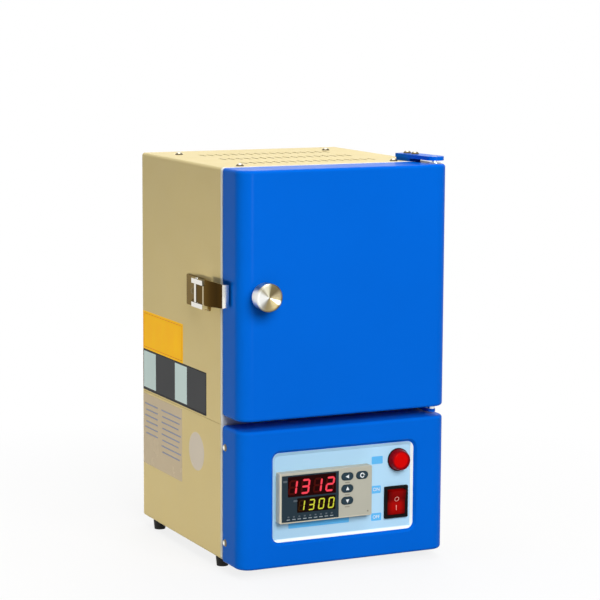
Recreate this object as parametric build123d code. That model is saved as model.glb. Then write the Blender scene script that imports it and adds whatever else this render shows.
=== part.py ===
from build123d import *

import os
from math import radians, tan

# Bench-top muffle furnace with a side-hung door, as separate nodes in parts/.
# Millimetres, +Z up, +Y towards the back of the furnace, door on the -Y side.
# Shapes are drawn from the casing's bottom-front-left corner and moved at the end,
# so that the written origin lies on the bench under the middle of the furnace.

# Casing
W, D, H = 216.0, 199.0, 370.0     # cream casing, without feet
SEAM = 129.6                      # top of the control compartment
SHEET = 1.2
BEND = 3.0                        # outside bend radius of the casing sheet
SEAM_GAP = 0.3
FRAME_T = 1.5                     # front frames of both compartments
UPPER_Z0 = SEAM + SEAM_GAP
DIVIDER_TOP = UPPER_Z0 + SHEET
FLANGE_H, LEDGE_W = 12.0, 11.8    # inner flanges of the divider and the lower casing
FOOT_H, FOOT_TOP, FOOT_END = 10.0, 13.0, 11.0
FOOT_X, FOOT_YS = 9.0, (19.5, D - 21.0)
TOP_SCREWS = [(x, y) for x in (23.5, W - 31.5) for y in (12.5, D - 39.0)]
TOP_VENT_W, TOP_VENT_L, TOP_VENT_COUNT, TOP_VENT_PITCH = 2.5, 18.0, 17, 8.4
TOP_VENT_ROWS, TOP_ROW_PITCH, TOP_VENT_Y = 3, 50.0, D / 2 - 7.5
FLOOR_VENT_W, FLOOR_VENT_L, FLOOR_VENT_COUNT, FLOOR_VENT_PITCH = 4.0, 30.0, 9, 12.0
REAR_VENT_W, REAR_VENT_H, REAR_VENT_PITCH = 56.0, 3.5, 9.0
REAR_VENT_X = W / 4 - 9.0         # either side of the middle
REAR_SCREW_X, REAR_SCREW_EDGE = 12.0, 12.0

# Front
FRONT = -42.6                     # front plane of door and control panel
BACK = -1.9                       # rear plane of both, clear of the casing
CORNER = 13.5                     # vertical front corners
ROLL = 3.0                        # rolled upper and lower front edges
PANEL_Z0 = -1.4
DOOR_Z0, DOOR_Z1 = SEAM + 9.0, H
CORE_SPACE = 7.0                  # room between the door skin and its core
CORE_RIGHT = 20.0                 # room for the hinge bushes

# Heated chamber
CHAMBER = 100.0
CX, CZ = W / 2, (DOOR_Z0 + DOOR_Z1) / 2
MOUTH = CHAMBER + 10.0            # opening of the front frame
SIDE_AIR, REAR_AIR = 10.8, 24.0   # air space round the board pack
FLAT_BOARD, REAR_BOARD = 45.0, 50.0
SIDE_BOARD = CX - CHAMBER / 2 - SIDE_AIR - SHEET
REAR_Y1 = D - REAR_AIR
REAR_Y0 = REAR_Y1 - REAR_BOARD
HEARTH_T = 5.0
PACK_Z0 = CZ - CHAMBER / 2 - HEARTH_T - FLAT_BOARD
RAIL_X, RAIL_W, RAIL_WALL = 62.0, 14.0, 1.5    # rails under the board pack, from the middle
WIRE = 2.0                        # radius of the heating rod
WIRE_BACK = 3.0                   # rod centre behind the chamber wall
LEGS, LEG_PITCH, LEG_BEND = 4, 24.0, 11.4
LEG_FRONT, LEG_REAR, LEG_OUT = FRAME_T + 14.0, REAR_Y0 - 7.5, REAR_Y1 + 10.0
PROBE_R, PROBE_Z, PROBE_TIP = 3.0, CZ + 28.0, REAR_Y0 - 17.0
PLUG_END, PLUG_TAPER = 12.0, 11.0

# Door hinges
PIVOT_X, PIVOT_Y = W - 8.1, FRONT + 16.6
UPPER_R, UPPER_T, UPPER_L, UPPER_TURN = 8.8, 3.8, 51.0, 8.0
LOWER_R, LOWER_T, LOWER_L = 3.9, 3.0, 60.5
UPPER_BAR_Z = DOOR_Z1 + 2.9
LOWER_BAR_Z = DIVIDER_TOP
PIN_R, PIN_CLEAR, SHOULDER_R = 2.5, 0.05, 3.6
BUSH_R, BUSH_LEN, FLANGE_R, FLANGE_T = 4.5, 9.0, 6.0, 1.0
UPPER_SCREWS, LOWER_SCREWS = (31.0, 43.5), (39.0, 53.0)    # along each bar from the pivot
PACKER_START = 30.0

# Door latch
LATCH_Z0, LATCH_Z1 = CZ - 20.8, CZ + 8.2
LATCH_Y0, LATCH_Y1 = 26.0, 80.0
LATCH_PLATE = 2.0
EAR_T, EAR_OUT, EAR_FLAT, EAR_END = 4.5, 9.0, 52.0, 70.0
LATCH_PIN_X, LATCH_PIN_Y, LATCH_PIN_R = -5.5, 46.0, 1.75
LATCH_SCREWS = (LATCH_Y0 + 7.0, LATCH_Y1 - 15.0)
KNUCKLE_R = 3.0
LEVER_T, LEVER_FRONT, LEVER_REAR = 1.5, -20.0, LATCH_Y0 - 4.0
LEVER_TOP, LEVER_LOW_REAR, LEVER_LOW_FRONT = LATCH_Z1 + 2.0, LATCH_Z0 + 6.0, LATCH_Z0 + 9.0
LIP_END, LIP_INSET = -2.0, 0.3    # clear of the door's edge as it swings past

# Knob
KNOB_X, KNOB_Z, KNOB_D, KNOB_OUT = 20.5, CZ + 1.7, 26.0, 19.0
STUD_R = 2.5

# Control panel window
WINDOW_W, WIN_R = 147.6, 6.5
WIN_X0 = CX - 74.4                # a little left of the middle
WIN_X1 = WIN_X0 + WINDOW_W
WIN_Z0, WIN_Z1 = PANEL_Z0 + 23.6, SEAM - 22.4
WINDOW_X, WINDOW_Z = (WIN_X0 + WIN_X1) / 2, (WIN_Z0 + WIN_Z1) / 2
WINDOW_H = WIN_Z1 - WIN_Z0
LIP = 2.8                         # bevelled step round the window
PLATE_Y, PLATE_T, PLATE_EDGE = FRONT + 4.0, 1.5, 5.0
RIM_RISE, RIM_SLOPE = 1.6, 62.0
PANEL_SCREW_Y, PANEL_SCREW_ZS = -7.5, (PANEL_Z0 + 20.1, SEAM - 20.0)
BRACKET_L, BRACKET_H, BRACKET_T = 16.0, 16.0, 1.5

# Temperature controller, 96 x 48 front
CTRL_X, CTRL_Z, CTRL_W, CTRL_H = WIN_X0 + 52.1, WIN_Z0 + 42.9, 96.0, 48.0
CTRL_OUT, CTRL_DEPTH = 8.7, 78.0
CTRL_FRONT = PLATE_Y - CTRL_OUT
CUT_W, CUT_H = 92.0, 45.0
CAP_T, CAP_STEP_X, CAP_STEP_Z = 7.0, 6.0, 5.0      # stepped rear end of the housing
CLIP_W, CLIP_H, CLIP_L = 14.0, 4.0, 24.5
GLASS_X0, GLASS_X1 = CTRL_X - 46.0, CTRL_X + 13.0
GLASS_Z0, GLASS_Z1 = CTRL_Z - CTRL_H / 2 + 1.3, CTRL_Z + CTRL_H / 2 - 2.4
KEY_W, KEY_H, KEY_T, KEY_CLEAR, KEY_PROUD = 12.4, 7.4, 3.0, 0.25, 0.6
KEYS = {                          # from the controller's middle
    "key_shift": (21.9, 15.4),
    "key_up": (21.9, 3.8),
    "key_down": (21.9, -7.8),
    "key_cycle": (37.3, 15.4),
}

# Lamp and switch
LAMP_X, LAMP_Z, LAMP_R, LAMP_NECK = WIN_X1 - 15.7, WIN_Z1 - 17.0, 11.0, 8.0
LAMP_FLANGE, LENS_OUT, LENS_FRONT, LENS_FOOT = 1.5, 9.0, 8.9, 10.4
SW_X, SW_Z, SW_W, SW_H = WIN_X1 - 17.8, WIN_Z0 + 27.1, 24.9, 31.0
SW_RIM, SW_BORDER = 2.0, 2.75
ROCK_HALF, ROCK_TILT, ROCK_CREASE = 11.6, 7.0, 3.0
ROCK_CLEAR = 0.3

# Rear fittings
INLET_X, INLET_Z, INLET_W, INLET_H = 50.0, 32.0, 27.0, 19.6
FUSE_X, FUSE_R = INLET_X + 45.0, 6.0

# Fittings inside the control compartment
RELAY_X, RELAY_Y, RELAY_W, RELAY_L = W - 35.5, D - 78.0, 45.0, 58.0
RELAY_FOOT, RELAY_H = 4.0, 26.0
STRIP_X, STRIP_Y, STRIP_W, STRIP_L, STRIP_H = W - 68.0, D - 30.0, 72.0, 18.0, 16.0
STRIP_PITCH, STRIP_WELL, STRIP_WELL_R = 11.5, 7.0, 3.2


def block(x0, x1, y0, y1, z0, z1):
    """Axis-aligned box between its limits."""
    centre = Pos((x0 + x1) / 2, (y0 + y1) / 2, (z0 + z1) / 2)
    return centre * Box(x1 - x0, y1 - y0, z1 - z0)


def post(x, y, z0, z1, radius, top=None):
    """Upright round bar, tapering to radius `top` where that is given."""
    centre = Pos(x, y, (z0 + z1) / 2)
    if top is None:
        return centre * Cylinder(radius, z1 - z0)
    return centre * Cone(radius, top, z1 - z0)


def rod(x, z, y0, y1, radius, far=None):
    """Round bar along Y, tapering to radius `far` at its rear where that is given."""
    centre = Pos(x, (y0 + y1) / 2, z) * Rot(-90, 0, 0)
    if far is None:
        return centre * Cylinder(radius, y1 - y0)
    return centre * Cone(radius, far, y1 - y0)


def facing(x, y, z):
    """Plane square to Y, its normal towards the back."""
    return Plane(origin=(x, y, z), x_dir=(-1, 0, 0), z_dir=(0, 1, 0))


def slab(x, z, y0, y1, width, height, radius=0.0, taper=0.0):
    """Plate square to Y, centred on x and z, with rounded corners."""
    outline = RectangleRounded(width, height, radius) if radius else Rectangle(width, height)
    return extrude(facing(x, y0, z) * outline, amount=y1 - y0, taper=taper)


def dome(x, y, z, radius, rise, direction):
    """Screw head: a low round cap on a face, standing out along `direction`."""
    ball_r = (radius ** 2 + rise ** 2) / (2 * rise)
    plane = Plane(origin=(x, y, z), z_dir=direction)
    ball = Pos(0, 0, rise - ball_r) * Sphere(ball_r)
    cap = Pos(0, 0, rise / 2) * Box(3 * radius, 3 * radius, rise)
    return plane * (ball & cap)


def slots(xs, ys, width, length, z0, z1):
    """Rows of straight vent slots through a level sheet."""
    return [block(x - width / 2, x + width / 2, y - length / 2, y + length / 2, z0, z1)
            for x in xs for y in ys]


def spread(middle, pitch, count):
    """Evenly pitched positions about a middle."""
    return [middle + pitch * (i - (count - 1) / 2) for i in range(count)]


def rolled_front(z0, z1, inset, roll):
    """Solid front casing shape: rounded upright corners, rolled upper and lower edges."""
    y0, corner = FRONT + inset, CORNER - inset
    body = block(inset, W - inset, y0, BACK, z0 + inset, z1 - inset)
    upright = [e for e in body.edges().filter_by(Axis.Z) if e.center().Y < (y0 + BACK) / 2]
    body = fillet(upright, corner)
    level = [e for face in (body.faces().sort_by(Axis.Z)[0], body.faces().sort_by(Axis.Z)[-1])
             for e in face.edges() if e.center().Y < BACK - 0.1]
    return fillet(level, roll)


def tray(z0, z1):
    """Pressed blue sheet tray, open at the rear."""
    return rolled_front(z0, z1, 0.0, ROLL) - rolled_front(z0, z1, SHEET, ROLL - SHEET) \
        - block(SHEET, W - SHEET, BACK - 8, BACK + 1, z0 + SHEET, z1 - SHEET)


def bent_channel(z0, z1, rounded):
    """Casing sheet bent to three sides, the bends at the top or at the bottom."""
    def profile(inset, radius):
        body = block(inset, W - inset, 0, D, z0 + inset, z1 - inset)
        edges = body.edges().filter_by(Axis.Y).group_by(Axis.Z)[-1 if rounded == "top" else 0]
        return fillet(edges, radius)
    inner = profile(SHEET, BEND - SHEET)
    mouth_z = (z0 - 1, z0 + SHEET + 1) if rounded == "top" else (z1 - SHEET - 1, z1 + 1)
    return profile(0.0, BEND) - inner - block(SHEET, W - SHEET, -1, D + 1, *mouth_z)


def rounded_frame(z0, z1, y0, y1, rounded):
    """Flat sheet that fills a bent channel, its corners following the bends."""
    body = block(SHEET, W - SHEET, y0, y1, z0, z1)
    edges = body.edges().filter_by(Axis.Y).group_by(Axis.Z)[-1 if rounded == "top" else 0]
    return fillet(edges, BEND - SHEET)


def casing_parts():
    upper = bent_channel(UPPER_Z0, H, "top")
    vent_xs = spread(CX, TOP_VENT_PITCH, TOP_VENT_COUNT)
    vent_ys = spread(TOP_VENT_Y, TOP_ROW_PITCH, TOP_VENT_ROWS)
    upper -= slots(vent_xs, vent_ys, TOP_VENT_W, TOP_VENT_L, H - 2 * SHEET, H + 1)

    hinge_notch = block(PIVOT_X - LOWER_R - 1, W, -1, FRAME_T + 1, UPPER_Z0 - 1, LOWER_BAR_Z + LOWER_T + 1)
    front = rounded_frame(UPPER_Z0, H - SHEET, 0, FRAME_T, "top")
    front -= slab(CX, CZ, -1, FRAME_T + 1, MOUTH, MOUTH, 3.0)
    front -= hinge_notch

    rear = rounded_frame(UPPER_Z0, H - SHEET, D - SHEET, D, "top")
    for x in (CX - REAR_VENT_X, CX + REAR_VENT_X):
        for z in spread(SEAM + 50, REAR_VENT_PITCH, 4) + spread(H - 50, REAR_VENT_PITCH, 4):
            rear -= slab(x, z, D - 2 * SHEET, D + 1, REAR_VENT_W, REAR_VENT_H)

    divider = block(SHEET, W - SHEET, FRAME_T, D - SHEET, UPPER_Z0, DIVIDER_TOP)
    for x0 in (SHEET, W - 2 * SHEET):
        divider += block(x0, x0 + SHEET, FRAME_T, D - SHEET, UPPER_Z0, UPPER_Z0 + FLANGE_H)
    for side in (-1, 1):
        xs = sorted((CX + side * RAIL_X, CX + side * (RAIL_X + RAIL_W)))
        hollow = sorted((CX + side * (RAIL_X - 1), CX + side * (RAIL_X + RAIL_W - RAIL_WALL)))
        divider += block(*xs, FRAME_T + 12, REAR_Y1 - 10, DIVIDER_TOP, PACK_Z0) \
            - block(*hollow, 0, D, DIVIDER_TOP + RAIL_WALL, PACK_Z0 - RAIL_WALL)

    lower = bent_channel(0, SEAM, "bottom")
    for x0 in (SHEET, W - SHEET - LEDGE_W):
        lower += block(x0, x0 + LEDGE_W, FRAME_T, D - SHEET, SEAM - SHEET, SEAM)
    lower -= slots(spread(CX, FLOOR_VENT_PITCH, FLOOR_VENT_COUNT), (60.0, D - 59.0),
                   FLOOR_VENT_W, FLOOR_VENT_L, -1, 2 * SHEET)

    lower_front = rounded_frame(SHEET, SEAM, 0, FRAME_T, "bottom")
    lower_front -= slab(CX, SEAM / 2, -1, FRAME_T + 1, W - 36, SEAM - 24, 3.0)

    lower_rear = rounded_frame(SHEET, SEAM, D - SHEET, D, "bottom")
    lower_rear -= slab(INLET_X, INLET_Z, D - 3, D + 1, INLET_W + 0.4, INLET_H + 0.4)
    lower_rear -= rod(FUSE_X, INLET_Z, D - 3, D + 1, FUSE_R + 0.1)
    for z in spread(SEAM - 45, REAR_VENT_PITCH, 5):
        lower_rear -= slab(CX, z, D - 2 * SHEET, D + 1, 2 * REAR_VENT_W, REAR_VENT_H)

    feet = [post(x, y, -FOOT_H, 0, FOOT_END / 2, FOOT_TOP / 2)
            for x in (FOOT_X, W - FOOT_X) for y in FOOT_YS]

    screws = [dome(x, y, H, 4.0, 2.6, (0, 0, 1)) for x, y in TOP_SCREWS]
    heights = (REAR_SCREW_EDGE, SEAM - REAR_SCREW_EDGE, UPPER_Z0 + REAR_SCREW_EDGE, H - REAR_SCREW_EDGE)
    rear_screws = [dome(x, D, z, 3.5, 2.2, (0, 1, 0))
                   for x in (REAR_SCREW_X, W - REAR_SCREW_X) for z in heights]
    rear_screws += [dome(INLET_X + side * 20, D + 3, INLET_Z, 2.8, 1.6, (0, 1, 0)) for side in (-1, 1)]
    return {
        "upper_casing": upper,
        "front_frame": front,
        "rear_cover": rear,
        "divider": divider,
        "lower_casing": lower,
        "lower_front_frame": lower_front,
        "rear_panel": lower_rear,
        "rubber_feet": feet,
        "top_screws": screws,
        "rear_screws": rear_screws,
    }


def element(side):
    """Bent heating rod on one chamber wall, both ends led out through the rear board."""
    x = CX + side * (CHAMBER / 2 + WIRE_BACK)
    zs = spread(CZ, LEG_PITCH, LEGS)
    points = [(x, LEG_OUT, zs[0]), (x, LEG_FRONT, zs[0])]
    for i, z in enumerate(zs[1:], 1):
        turn, end = (LEG_FRONT, LEG_REAR) if i % 2 else (LEG_REAR, LEG_FRONT)
        points += [(x, turn, z), (x, end, z)]
    points[-1] = (x, LEG_OUT, zs[-1])
    path = FilletPolyline(*points, radius=LEG_BEND)
    return sweep((path ^ 0) * Circle(WIRE), path=path)


def groove(side):
    """Room for the heating rod in the wall board."""
    wall = CX + side * CHAMBER / 2
    x0, x1 = sorted((wall - side, wall + side * (WIRE_BACK + WIRE + 0.3)))
    room = WIRE + 0.4
    zs = spread(CZ, LEG_PITCH, LEGS)
    cuts = []
    for i, z in enumerate(zs):
        end = REAR_Y0 + 1 if i in (0, LEGS - 1) else LEG_REAR + room
        cuts.append(block(x0, x1, LEG_FRONT - room, end, z - room, z + room))
    for i, (z0, z1) in enumerate(zip(zs, zs[1:])):
        y, bend = (LEG_FRONT, LEG_BEND + room) if i % 2 == 0 else (LEG_REAR, -LEG_BEND - room)
        y0, y1 = min(y - room, y + bend), max(y + room, y + bend)
        cuts.append(block(x0, x1, y0, y1, z0, z1))
    return cuts


def chamber_parts():
    half = CHAMBER / 2
    z0, z1 = CZ - half - HEARTH_T, CZ + half
    x0, x1 = CX - half - SIDE_BOARD, CX + half + SIDE_BOARD
    boards = {
        "insulation_floor": block(x0, x1, FRAME_T, REAR_Y1, PACK_Z0, z0),
        "insulation_roof": block(x0, x1, FRAME_T, REAR_Y1, z1, z1 + FLAT_BOARD),
        "insulation_left": block(x0, CX - half, FRAME_T, REAR_Y0, z0, z1) - groove(-1),
        "insulation_right": block(CX + half, x1, FRAME_T, REAR_Y0, z0, z1) - groove(1),
    }
    rear = block(x0, x1, REAR_Y0, REAR_Y1, z0, z1)
    ends = [(CX + side * (half + WIRE_BACK), z) for side in (-1, 1)
            for z in (spread(CZ, LEG_PITCH, LEGS)[0], spread(CZ, LEG_PITCH, LEGS)[-1])]
    for x, z in ends:
        rear -= rod(x, z, REAR_Y0 - 1, REAR_Y1 + 1, WIRE + 0.3)
    rear -= rod(CX, PROBE_Z, REAR_Y0 - 1, REAR_Y1 + 1, PROBE_R + 0.2)
    boards["insulation_rear"] = rear

    clamps = [slab(x, z, REAR_Y1, LEG_OUT - 1, 10, 8) - rod(x, z, REAR_Y1 - 1, LEG_OUT, WIRE)
              for x, z in ends]
    probe = rod(CX, PROBE_Z, PROBE_TIP, REAR_Y1, PROBE_R)
    probe += slab(CX, PROBE_Z, REAR_Y1, REAR_Y1 + 12, 26, 16, 2.0)
    return boards | {
        "hearth_plate": block(CX - half + 2, CX + half - 2, 4.0, REAR_Y0 - 2, z0, z0 + HEARTH_T),
        "heating_element_left": element(-1),
        "heating_element_right": element(1),
        "element_clamps": clamps,
        "thermocouple": probe,
        "mouth_seal": slab(CX, CZ, BACK + SEAM_GAP, 0, MOUTH + 20, MOUTH + 20, 6.0)
        - slab(CX, CZ, -3, 1, MOUTH + 4, MOUTH + 4, 3.0),
    }


def hinge_bar(z0, thick, radius, length, turn=0.0):
    """Flat bar with a round nose about the pivot, running back over the casing."""
    bar = block(-radius, radius, 0, length, z0, z0 + thick) + post(0, 0, z0, z0 + thick, radius)
    bar -= post(0, 0, z0 - 1, z0 + thick + 1, PIN_R)
    return Pos(PIVOT_X, PIVOT_Y, 0) * Rot(0, 0, turn) * bar


def bush(face, inward):
    """Flanged bearing in a level door wall; `face` is the wall's outer face."""
    inner, outer = face + inward * BUSH_LEN, face - inward * FLANGE_T
    body = post(PIVOT_X, PIVOT_Y, *sorted((inner, face)), BUSH_R)
    body += post(PIVOT_X, PIVOT_Y, *sorted((face, outer)), FLANGE_R)
    return body - post(PIVOT_X, PIVOT_Y, *sorted((inner, outer)), PIN_R + PIN_CLEAR)


def hinge_parts():
    upper_top, lower_top = UPPER_BAR_Z + UPPER_T, LOWER_BAR_Z + LOWER_T
    lower_pin = post(PIVOT_X, PIVOT_Y, LOWER_BAR_Z, DOOR_Z0 + BUSH_LEN - 1, PIN_R)
    lower_pin += post(PIVOT_X, PIVOT_Y, lower_top, DOOR_Z0 - FLANGE_T - 0.1, SHOULDER_R)
    along = Pos(PIVOT_X, PIVOT_Y, 0) * Rot(0, 0, UPPER_TURN)
    screws = [along * dome(0, back, upper_top, 4.0, 2.8, (0, 0, 1)) for back in UPPER_SCREWS]
    screws += [dome(PIVOT_X, PIVOT_Y + back, lower_top, 3.0, 2.0, (0, 0, 1)) for back in LOWER_SCREWS]
    return {
        "hinge_pin_upper": post(PIVOT_X, PIVOT_Y, DOOR_Z1 - BUSH_LEN + 1, upper_top, PIN_R),
        "hinge_pin_lower": lower_pin,
        "hinge_bar_upper": hinge_bar(UPPER_BAR_Z, UPPER_T, UPPER_R, UPPER_L, UPPER_TURN),
        "hinge_bar_lower": hinge_bar(LOWER_BAR_Z, LOWER_T, LOWER_R, LOWER_L),
        "hinge_packer": along * block(1 - UPPER_R, UPPER_R - 3, PACKER_START, UPPER_L, H, UPPER_BAR_Z),
        "hinge_screws": screws,
    }


def door_parts():
    shell = tray(DOOR_Z0, DOOR_Z1)
    for z in (DOOR_Z0, DOOR_Z1):
        shell -= post(PIVOT_X, PIVOT_Y, z - 3, z + 3, BUSH_R)
    shell -= rod(KNOB_X, KNOB_Z, FRONT - 1, FRONT + 3, STUD_R)
    plate = block(SHEET, W - SHEET, BACK - 1.5, BACK, DOOR_Z0 + SHEET, DOOR_Z1 - SHEET)
    core = block(CORE_SPACE, W - CORE_RIGHT, FRONT + CORE_SPACE, BACK - 1.5, DOOR_Z0 + 5, DOOR_Z1 - 5)
    plug = slab(CX, CZ, BACK, PLUG_END, CHAMBER - 3, CHAMBER - 3, 6.0, taper=PLUG_TAPER)

    knob = rod(KNOB_X, KNOB_Z, FRONT - 9, FRONT, 7.0)
    knob += rod(KNOB_X, KNOB_Z, FRONT - KNOB_OUT + 1, FRONT - 8, KNOB_D / 2)
    knob += rod(KNOB_X, KNOB_Z, FRONT - KNOB_OUT, FRONT - KNOB_OUT + 1, KNOB_D / 2 - 1, KNOB_D / 2)
    knob -= rod(KNOB_X, KNOB_Z, FRONT - KNOB_OUT - 0.01, FRONT - KNOB_OUT + 1.6, KNOB_D / 2 - 2.2, 1.5)
    knob -= rod(KNOB_X, KNOB_Z, FRONT - 12, FRONT + 1, STUD_R)
    stud = rod(KNOB_X, KNOB_Z, FRONT - 12, FRONT + 6, STUD_R)
    stud += rod(KNOB_X, KNOB_Z, FRONT + SHEET, FRONT + SHEET + 4, 5.0)
    return {
        "door_shell": shell,
        "door_back_plate": plate,
        "door_core": core,
        "door_plug": plug,
        "door_bushes": [bush(DOOR_Z1, -1), bush(DOOR_Z0, 1)],
        "door_knob": knob,
        "knob_stud": stud,
    }


def latch_parts():
    ear = make_face(Polyline((0, EAR_END), (-EAR_OUT, EAR_FLAT),
                             (-EAR_OUT, LATCH_Y0), (0, LATCH_Y0), close=True))
    low_ear, high_ear = LATCH_Z0 + 2, LATCH_Z1 - EAR_T
    base = block(-LATCH_PLATE, 0, LATCH_Y0, LATCH_Y1, LATCH_Z0, LATCH_Z1)
    base = fillet(base.edges().filter_by(Axis.X), 1.5)
    base = base + [Pos(0, 0, z) * extrude(ear, EAR_T) for z in (low_ear, high_ear)]
    pin = post(LATCH_PIN_X, LATCH_PIN_Y, LATCH_Z0 + 1.2, LATCH_Z1 + 0.8, LATCH_PIN_R)

    z0, z1 = low_ear + EAR_T + 0.3, high_ear - 0.3
    plate_x = LATCH_PIN_X - KNUCKLE_R
    side = make_face(Polyline((0, LEVER_REAR, LEVER_LOW_REAR), (0, LEVER_FRONT, LEVER_LOW_FRONT),
                              (0, LEVER_FRONT, LEVER_TOP), (0, LEVER_REAR, LEVER_TOP), close=True))
    lever = post(LATCH_PIN_X, LATCH_PIN_Y, z0, z1, KNUCKLE_R)
    lever += block(plate_x, plate_x + LEVER_T, LEVER_REAR - 1, LATCH_PIN_Y, z0, z1)
    lever += Pos(plate_x, 0, 0) * extrude(side, LEVER_T, dir=(1, 0, 0))
    lever += block(plate_x, LIP_END, LEVER_FRONT, LEVER_FRONT + LEVER_T,
                   LEVER_LOW_FRONT + LIP_INSET, LEVER_TOP - LIP_INSET)
    lever -= post(LATCH_PIN_X, LATCH_PIN_Y, z0 - 1, z1 + 1, LATCH_PIN_R + PIN_CLEAR)
    middle = (LATCH_Z0 + LATCH_Z1) / 2
    screws = [dome(-LATCH_PLATE, y, middle, 3.0, 1.6, (-1, 0, 0)) for y in LATCH_SCREWS]
    return {"latch_base": base - pin, "latch_pin": pin, "latch_lever": lever, "latch_screws": screws}


def panel_parts():
    panel = tray(PANEL_Z0, SEAM)
    panel += slab(WINDOW_X, WINDOW_Z, FRONT + SHEET / 2, PLATE_Y,
                  WINDOW_W + 2 * SHEET, WINDOW_H + 2 * SHEET, WIN_R + SHEET)
    panel += slab(WINDOW_X, WINDOW_Z, FRONT + SHEET / 2, FRONT + LIP + SHEET,
                  WINDOW_W + 2 * (LIP + SHEET), WINDOW_H + 2 * (LIP + SHEET), WIN_R + LIP + SHEET)
    panel -= slab(WINDOW_X, WINDOW_Z, FRONT - 1, PLATE_Y + 1, WINDOW_W, WINDOW_H, WIN_R)
    panel -= slab(WINDOW_X, WINDOW_Z, FRONT - 0.01, FRONT + LIP,
                  WINDOW_W + 2 * LIP, WINDOW_H + 2 * LIP, WIN_R + LIP, taper=45)

    plate = slab(WINDOW_X, WINDOW_Z, PLATE_Y, PLATE_Y + PLATE_T,
                 WINDOW_W + 2 * PLATE_EDGE, WINDOW_H + 2 * PLATE_EDGE, 4.0)
    rim_front = PLATE_Y - RIM_RISE
    rim = slab(WINDOW_X, WINDOW_Z, rim_front, PLATE_Y, WINDOW_W, WINDOW_H, WIN_R)
    rim -= slab(WINDOW_X, WINDOW_Z, rim_front - 0.01, PLATE_Y + 0.01,
                WINDOW_W - 0.4, WINDOW_H - 0.4, WIN_R - 0.2, taper=RIM_SLOPE)
    plate += rim
    plate -= slab(CTRL_X, CTRL_Z, PLATE_Y - 1, PLATE_Y + 3, CUT_W, CUT_H)
    plate -= rod(LAMP_X, LAMP_Z, PLATE_Y - 1, PLATE_Y + 3, LAMP_NECK)
    plate -= slab(SW_X, SW_Z, PLATE_Y - 1, PLATE_Y + 3, SW_W - 2.8, SW_H - 3.0)

    brackets = []
    for side in (-1, 1):
        inner = CX + side * (CX - SHEET)
        for z in PANEL_SCREW_ZS:
            zs = (z - BRACKET_H / 2, z + BRACKET_H / 2)
            ear = block(*sorted((inner, inner - side * BRACKET_T)), -BRACKET_L, 0, *zs)
            ear += block(*sorted((inner, inner - side * BRACKET_L)), -BRACKET_T, 0, *zs)
            brackets.append(ear)
    screws = [dome(CX + side * CX, PANEL_SCREW_Y, z, 3.6, 2.2, (side, 0, 0))
              for side in (-1, 1) for z in PANEL_SCREW_ZS]
    return {"control_panel": panel, "panel_plate": plate,
            "panel_brackets": brackets, "panel_screws": screws}


def controller_parts():
    bezel = slab(CTRL_X, CTRL_Z, CTRL_FRONT, PLATE_Y, CTRL_W, CTRL_H, 1.5)
    bezel = chamfer(bezel.faces().sort_by(Axis.Y)[0].edges(), 0.6)
    window = ((GLASS_X0 + GLASS_X1) / 2, (GLASS_Z0 + GLASS_Z1) / 2)
    glass_w, glass_h = GLASS_X1 - GLASS_X0, GLASS_Z1 - GLASS_Z0
    glass = slab(*window, CTRL_FRONT + 0.3, CTRL_FRONT + 2.3, glass_w, glass_h)
    bezel -= slab(*window, CTRL_FRONT - 1, CTRL_FRONT + 2.3, glass_w, glass_h)
    keys = {}
    for name, (dx, dz) in KEYS.items():
        x, z = CTRL_X + dx, CTRL_Z + dz
        bezel -= slab(x, z, CTRL_FRONT - 1, CTRL_FRONT + 5, KEY_W + 2 * KEY_CLEAR,
                      KEY_H + 2 * KEY_CLEAR, KEY_H / 2 + KEY_CLEAR - 0.01)
        key = slab(x, z, CTRL_FRONT - KEY_PROUD, CTRL_FRONT - KEY_PROUD + KEY_T,
                   KEY_W, KEY_H, KEY_H / 2 - 0.01)
        keys[name] = chamfer(key.faces().sort_by(Axis.Y)[0].edges(), 0.5)
    back = PLATE_Y + CTRL_DEPTH
    housing = slab(CTRL_X, CTRL_Z, PLATE_Y, back, CUT_W - 0.6, CUT_H - 0.6)
    housing += slab(CTRL_X, CTRL_Z, back, back + CAP_T, CUT_W - 2 * CAP_STEP_X, CUT_H - 2 * CAP_STEP_Z)
    clip_y, clip_z = PLATE_Y + PLATE_T, CUT_H / 2 + CLIP_H / 2 - 0.3
    clips = [slab(CTRL_X, CTRL_Z + side * clip_z, clip_y, clip_y + CLIP_L, CLIP_W, CLIP_H)
             for side in (-1, 1)]
    return keys | {
        "controller_bezel": bezel,
        "controller_glass": glass,
        "controller_housing": housing,
        "controller_clips": clips,
    }


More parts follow.
